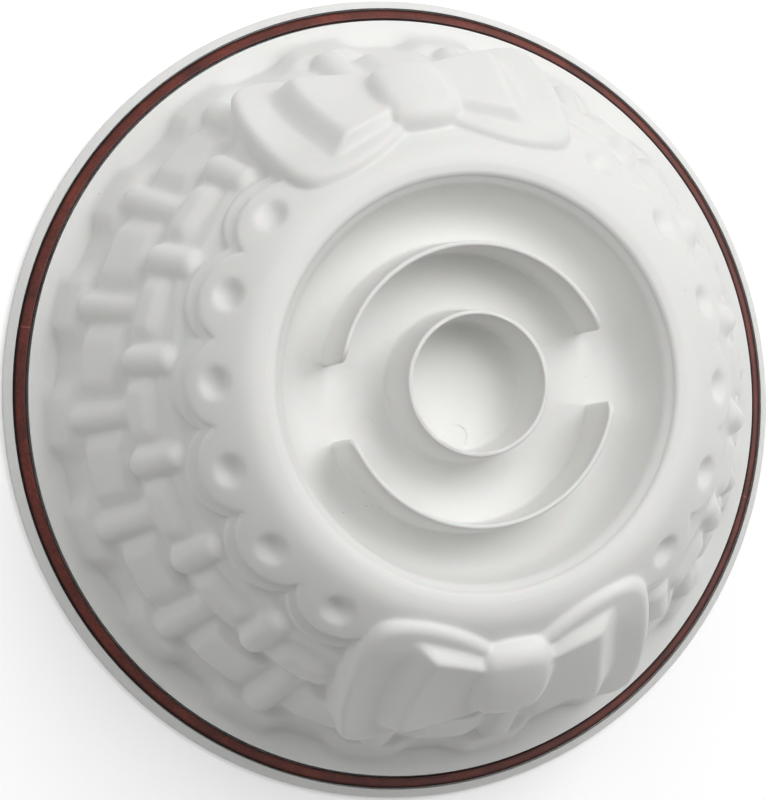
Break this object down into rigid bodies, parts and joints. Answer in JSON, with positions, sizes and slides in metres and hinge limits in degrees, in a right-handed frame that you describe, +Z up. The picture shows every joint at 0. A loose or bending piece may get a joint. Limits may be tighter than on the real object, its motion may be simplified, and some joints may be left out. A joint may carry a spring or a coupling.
{
  "type": "silicone cake and chocolate mould",
  "caption": "Basket-shaped silicone mould with woven relief, scalloped cloth, two bows and a dished base with feet, stiffened by a separate ring in a groove round its rim.",
  "frame": {"origin": "centre of the rim's resting plane, under the middle of the dish", "axes": "+Z up from the rim to the base, so the opening faces down; +Y and -Y through the two bows; +X between two scallops"},
  "size_m": [0.22, 0.22, 0.08],
  "materials": {
    "white_silicone": "satin",
    "brown_ring": "satin"
  },
  "bodies": {
    "mould": {"mould_body": "white_silicone"},
    "ring": {"stiffening_ring": "brown_ring"}
  },
  "joints": [
    {"name": "ring_lift_off", "type": "slide", "parent": "mould", "child": "ring", "axis": [0, 0, 1], "range_m": [0, 0.09]}
  ]
}
